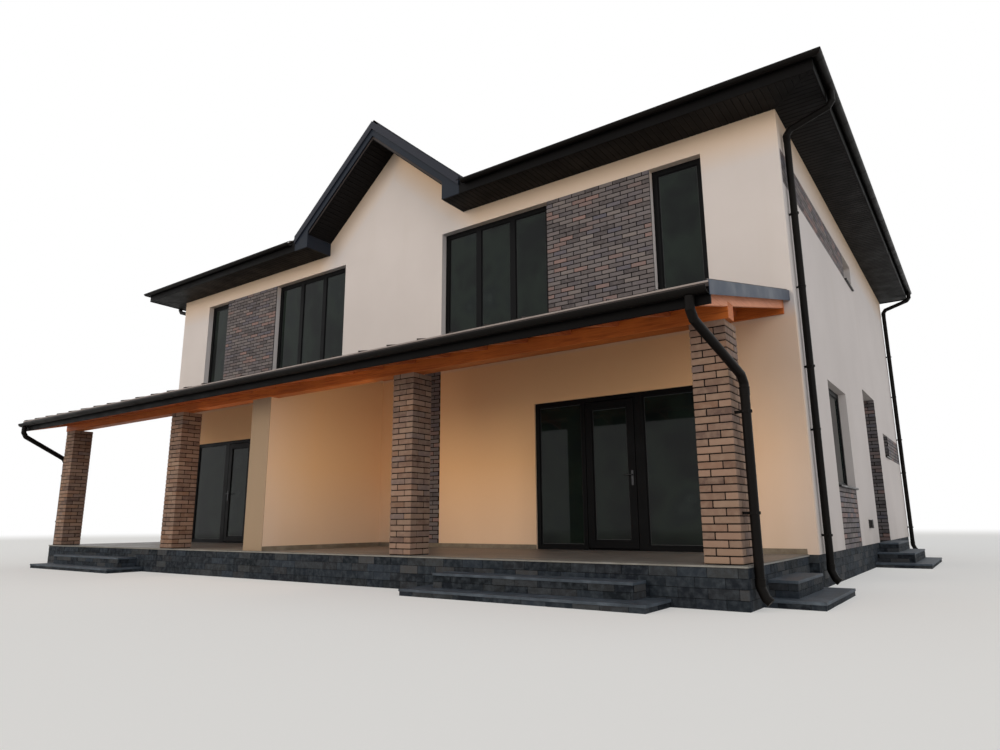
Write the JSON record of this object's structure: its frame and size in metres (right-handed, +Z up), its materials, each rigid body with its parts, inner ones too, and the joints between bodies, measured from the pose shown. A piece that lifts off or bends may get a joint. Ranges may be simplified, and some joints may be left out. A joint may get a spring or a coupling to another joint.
{
  "type": "two-storey duplex house",
  "caption": "Hollow duplex house with a hipped roof, front gable, wide upper windows, brick panels and a full-width porch on brick posts, with steps and a glazed door that opens.",
  "frame": {"origin": "level of the paving below the front wall's face, on the line between the two homes", "axes": "+X along the front to the right-hand home, +Y from the front wall to the back, +Z up"},
  "size_m": [16.78, 14.813, 9.901],
  "materials": {
    "roof_covering": "matt",
    "soffit_boards": "satin",
    "fascia_boards": "satin",
    "gable_boards": "satin",
    "clinker_slips": "matt",
    "plinth_render": "matt",
    "wall_render": "matt",
    "concrete": "matt",
    "window_frame": "satin",
    "window_glass": "clear",
    "sill_metal": "satin",
    "side_door": "satin",
    "vent_plastic": "matt",
    "handle_metal": "brushed",
    "hinge_metal": "satin",
    "stone_cladding": "matt",
    "porch_tiles": "matt",
    "step_stone": "matt",
    "step_tread": "matt",
    "pier_brick": "matt",
    "stained_timber": "stained",
    "flashing_metal": "satin",
    "skirting_tiles": "matt",
    "gutter_metal": "satin"
  },
  "bodies": {
    "house": {"attic_slab": "concrete", "brick_panels": "clinker_slips", "doorway_linings": "clinker_slips", "downpipes": "gutter_metal", "eaves_returns": "gable_boards", "front_fascias": "fascia_boards", "front_rear_gutters": "gutter_metal", "front_soffits": "soffit_boards", "front_wall_piers": "wall_render", "front_wall_upper": "wall_render", "gable_boards": "gable_boards", "gable_roof": "roof_covering", "ground_floor_slab": "concrete", "left_door_handles": "handle_metal", "left_door_leaf": "window_frame", "left_leaf_hinges": "hinge_metal", "left_side_wall": "wall_render", "main_roof": "roof_covering", "party_wall_end": "wall_render", "pipe_clips": "gutter_metal", "plinth": "plinth_render", "porch_beam": "stained_timber", "porch_boards": "stained_timber", "porch_fascia": "fascia_boards", "porch_floor": "porch_tiles", "porch_gutter": "gutter_metal", "porch_ledger": "stained_timber", "porch_piers": "pier_brick", "porch_platform": "stone_cladding", "porch_rafters": "stained_timber", "porch_roofing": "roof_covering", "porch_skirting": "skirting_tiles", "post_hinges": "hinge_metal", "rear_fascia": "fascia_boards", "rear_wall": "wall_render", "ridge_caps": "roof_covering", "right_side_wall": "wall_render", "screen_frames": "window_frame", "screen_glass": "window_glass", "side_door_frames": "window_frame", "side_door_glass": "window_glass", "side_door_leaves": "side_door", "side_fascias": "fascia_boards", "side_gutters": "gutter_metal", "side_soffits": "soffit_boards", "side_vents": "vent_plastic", "step_blocks": "step_stone", "step_treads": "step_tread", "upper_floor_slab": "concrete", "verge_flashings": "flashing_metal", "window_frames": "window_frame", "window_glass": "window_glass", "window_sills": "sill_metal"},
    "porch_door": {"door_leaf": "window_frame", "door_glass": "window_glass", "door_handles": "handle_metal", "leaf_hinges": "hinge_metal"}
  },
  "joints": [
    {"name": "porch_door_hinge", "type": "hinge", "parent": "house", "child": "porch_door", "pos_m": [4.2945, 0.1085, 1.5], "axis": [0, 0, 1], "range_deg": [0, 90]}
  ]
}
